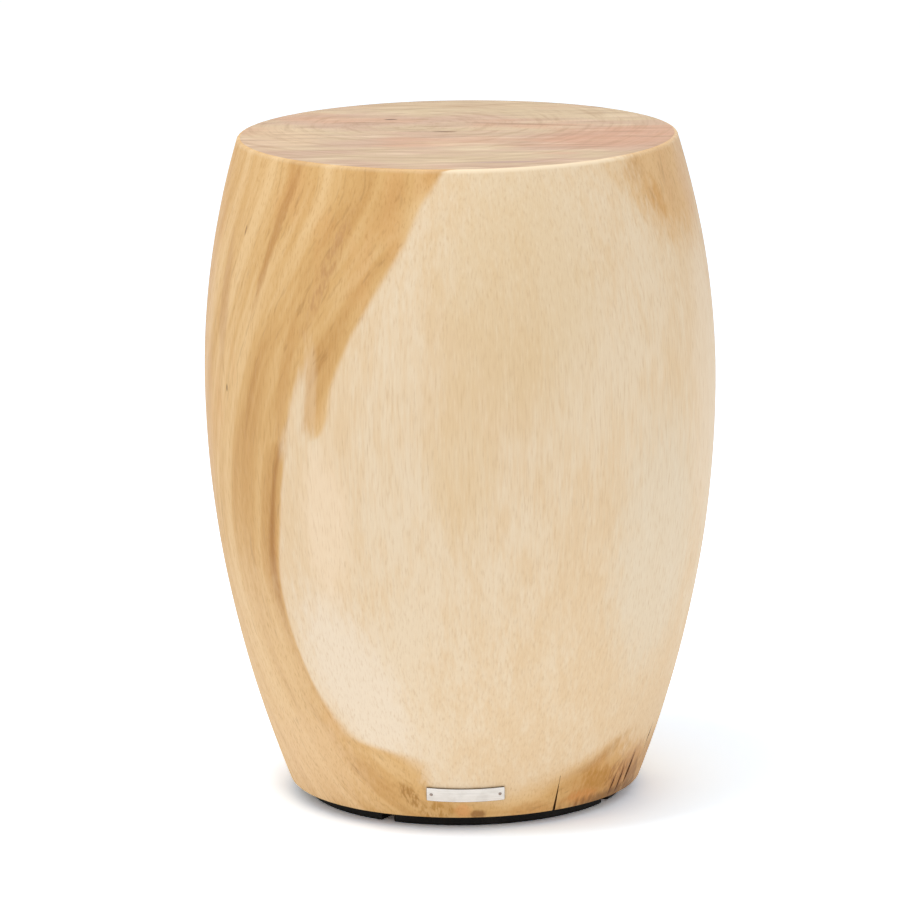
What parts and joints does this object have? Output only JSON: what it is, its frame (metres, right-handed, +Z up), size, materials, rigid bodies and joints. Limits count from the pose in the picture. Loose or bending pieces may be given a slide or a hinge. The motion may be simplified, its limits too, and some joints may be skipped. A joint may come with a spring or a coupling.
{
  "type": "side table",
  "caption": "Barrel-shaped round side table turned from a solid log, with a flat end-grain top, a blank plate at the foot and a ring of rubber foot pads.",
  "frame": {"origin": "on the floor, on the table's upright axis", "axes": "+Z up along the table's axis, -Y out of the front, where the plate is, +X to the right hand side"},
  "size_m": [0.345, 0.3448, 0.45],
  "materials": {
    "log": "sanded and oiled, matt",
    "plate": "brushed, blank",
    "pins": "bright",
    "foot_pads": "matt black",
    "screws": "zinc plated"
  },
  "bodies": {
    "root": {"log_body": "log", "name_plate": "plate", "plate_pin_left": "pins", "plate_pin_right": "pins", "foot_pad_front": "foot_pads", "foot_pad_right": "foot_pads", "foot_pad_back": "foot_pads", "foot_pad_left": "foot_pads", "pad_screw_front_1": "screws", "pad_screw_front_2": "screws", "pad_screw_front_3": "screws", "pad_screw_right_1": "screws", "pad_screw_right_2": "screws", "pad_screw_right_3": "screws", "pad_screw_back_1": "screws", "pad_screw_back_2": "screws", "pad_screw_back_3": "screws", "pad_screw_left_1": "screws", "pad_screw_left_2": "screws", "pad_screw_left_3": "screws"}
  },
  "joints": []
}
